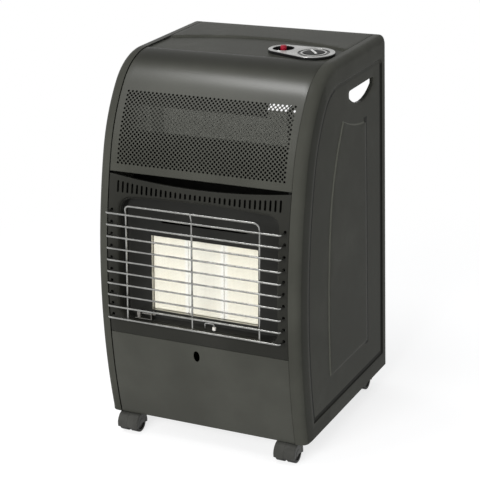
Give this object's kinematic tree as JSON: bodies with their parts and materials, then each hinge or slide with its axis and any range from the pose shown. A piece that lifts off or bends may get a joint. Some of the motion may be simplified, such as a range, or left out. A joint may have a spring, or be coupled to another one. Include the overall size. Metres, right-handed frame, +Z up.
{
  "type": "portable gas cabinet heater",
  "caption": "Free-standing gas cabinet heater with a bulged front, perforated upper panel, ceramic plaques behind a wire guard, top knob and button, and swivel casters.",
  "frame": {"origin": "on the floor, under the middle of the overall width and depth", "axes": "+Z up, -Y towards the front with the wire guard, +X to the right of someone facing the front"},
  "size_m": [0.42, 0.45, 0.7393],
  "materials": {
    "cabinet_paint": "satin powder coat",
    "tray_paint": "satin powder coat",
    "shield_steel": "galvanised, dull",
    "dark_steel": "heat-darkened, matt",
    "plaque_ceramic": "matt, finely perforated",
    "frame_steel": "bright sheet",
    "guard_chrome": "bright plated wire",
    "brass": "machined",
    "pipe_steel": "drawn",
    "insulator_ceramic": "glazed",
    "bezel_silver": "metallic grey lacquer",
    "knob_black": "satin",
    "pointer_silver": "metallic lacquer",
    "button_red": "gloss",
    "igniter_plastic": "satin",
    "screw_steel": "zinc plated",
    "caster_plastic": "satin",
    "wheel_plastic": "satin"
  },
  "bodies": {
    "cabinet": {"side_panel_left": "cabinet_paint", "side_panel_right": "cabinet_paint", "top_cover": "cabinet_paint", "mesh_panel": "cabinet_paint", "front_fascia": "cabinet_paint", "lower_front_panel": "cabinet_paint", "rear_rail": "cabinet_paint", "base_tray": "tray_paint", "heat_shield": "shield_steel", "top_baffle": "dark_steel", "burner_reflector": "dark_steel", "burner_plenum": "dark_steel", "ceramic_plaque_left": "plaque_ceramic", "ceramic_plaque_middle": "plaque_ceramic", "ceramic_plaque_right": "plaque_ceramic", "plaque_frame": "frame_steel", "valve_bracket": "frame_steel", "pilot_bracket": "frame_steel", "wire_guard": "guard_chrome", "guard_bow": "guard_chrome", "guard_upright": "guard_chrome", "gas_injector": "brass", "gas_valve_body": "brass", "hose_inlet": "brass", "pilot_burner": "brass", "gas_pipe": "pipe_steel", "thermocouple": "pipe_steel", "spark_electrode": "pipe_steel", "electrode_insulator": "insulator_ceramic", "control_bezel": "bezel_silver", "piezo_igniter": "igniter_plastic", "cabinet_screws": "screw_steel"},
    "rear_cover": {"rear_cover": "cabinet_paint"},
    "plug": {"valve_plug": "brass"},
    "knob": {"control_knob": "knob_black", "knob_pointer": "pointer_silver", "valve_spindle": "pipe_steel"},
    "button": {"igniter_button": "button_red"},
    "caster_front_left": {"caster_front_left_housing": "caster_plastic", "caster_front_left_axle": "screw_steel"},
    "wheel_front_left_left": {"caster_front_left_wheel_left": "wheel_plastic"},
    "wheel_front_left_right": {"caster_front_left_wheel_right": "wheel_plastic"},
    "caster_front_right": {"caster_front_right_housing": "caster_plastic", "caster_front_right_axle": "screw_steel"},
    "wheel_front_right_left": {"caster_front_right_wheel_left": "wheel_plastic"},
    "wheel_front_right_right": {"caster_front_right_wheel_right": "wheel_plastic"},
    "caster_rear_left": {"caster_rear_left_housing": "caster_plastic", "caster_rear_left_axle": "screw_steel"},
    "wheel_rear_left_left": {"caster_rear_left_wheel_left": "wheel_plastic"},
    "wheel_rear_left_right": {"caster_rear_left_wheel_right": "wheel_plastic"},
    "caster_rear_right": {"caster_rear_right_housing": "caster_plastic", "caster_rear_right_axle": "screw_steel"},
    "wheel_rear_right_left": {"caster_rear_right_wheel_left": "wheel_plastic"},
    "wheel_rear_right_right": {"caster_rear_right_wheel_right": "wheel_plastic"}
  },
  "joints": [
    {"name": "rear_cover_lift", "type": "slide", "parent": "cabinet", "child": "rear_cover", "axis": [0, 0, 1], "range_m": [0, 0.1]},
    {"name": "knob_turn", "type": "hinge", "parent": "cabinet", "child": "plug", "pos_m": [0.142, 0.032, 0.7], "axis": [0, 0, 1], "range_deg": [0, 240]},
    {"name": "knob_push", "type": "slide", "parent": "plug", "child": "knob", "axis": [0, 0, 1], "range_m": [-0.004, 0], "stiffness_N_per_m": 1500, "springref_m": 0.002},
    {"name": "igniter_press", "type": "slide", "parent": "cabinet", "child": "button", "axis": [0, 0, 1], "range_m": [-0.006, 0], "stiffness_N_per_m": 1200, "springref_m": 0.002},
    {"name": "caster_front_left_swivel", "type": "hinge", "parent": "cabinet", "child": "caster_front_left", "pos_m": [-0.168, -0.16, 0.05], "axis": [0, 0, 1], "continuous": true},
    {"name": "wheel_front_left_left_spin", "type": "hinge", "parent": "caster_front_left", "child": "wheel_front_left_left", "pos_m": [-0.168, -0.176, 0.0185], "axis": [1, 0, 0], "continuous": true},
    {"name": "wheel_front_left_right_spin", "type": "hinge", "parent": "caster_front_left", "child": "wheel_front_left_right", "pos_m": [-0.168, -0.176, 0.0185], "axis": [1, 0, 0], "continuous": true},
    {"name": "caster_front_right_swivel", "type": "hinge", "parent": "cabinet", "child": "caster_front_right", "pos_m": [0.168, -0.16, 0.05], "axis": [0, 0, 1], "continuous": true},
    {"name": "wheel_front_right_left_spin", "type": "hinge", "parent": "caster_front_right", "child": "wheel_front_right_left", "pos_m": [0.168, -0.176, 0.0185], "axis": [1, 0, 0], "continuous": true},
    {"name": "wheel_front_right_right_spin", "type": "hinge", "parent": "caster_front_right", "child": "wheel_front_right_right", "pos_m": [0.168, -0.176, 0.0185], "axis": [1, 0, 0], "continuous": true},
    {"name": "caster_rear_left_swivel", "type": "hinge", "parent": "cabinet", "child": "caster_rear_left", "pos_m": [-0.168, 0.185, 0.05], "axis": [0, 0, 1], "continuous": true},
    {"name": "wheel_rear_left_left_spin", "type": "hinge", "parent": "caster_rear_left", "child": "wheel_rear_left_left", "pos_m": [-0.168, 0.169, 0.0185], "axis": [1, 0, 0], "continuous": true},
    {"name": "wheel_rear_left_right_spin", "type": "hinge", "parent": "caster_rear_left", "child": "wheel_rear_left_right", "pos_m": [-0.168, 0.169, 0.0185], "axis": [1, 0, 0], "continuous": true},
    {"name": "caster_rear_right_swivel", "type": "hinge", "parent": "cabinet", "child": "caster_rear_right", "pos_m": [0.168, 0.185, 0.05], "axis": [0, 0, 1], "continuous": true},
    {"name": "wheel_rear_right_left_spin", "type": "hinge", "parent": "caster_rear_right", "child": "wheel_rear_right_left", "pos_m": [0.168, 0.169, 0.0185], "axis": [1, 0, 0], "continuous": true},
    {"name": "wheel_rear_right_right_spin", "type": "hinge", "parent": "caster_rear_right", "child": "wheel_rear_right_right", "pos_m": [0.168, 0.169, 0.0185], "axis": [1, 0, 0], "continuous": true}
  ]
}
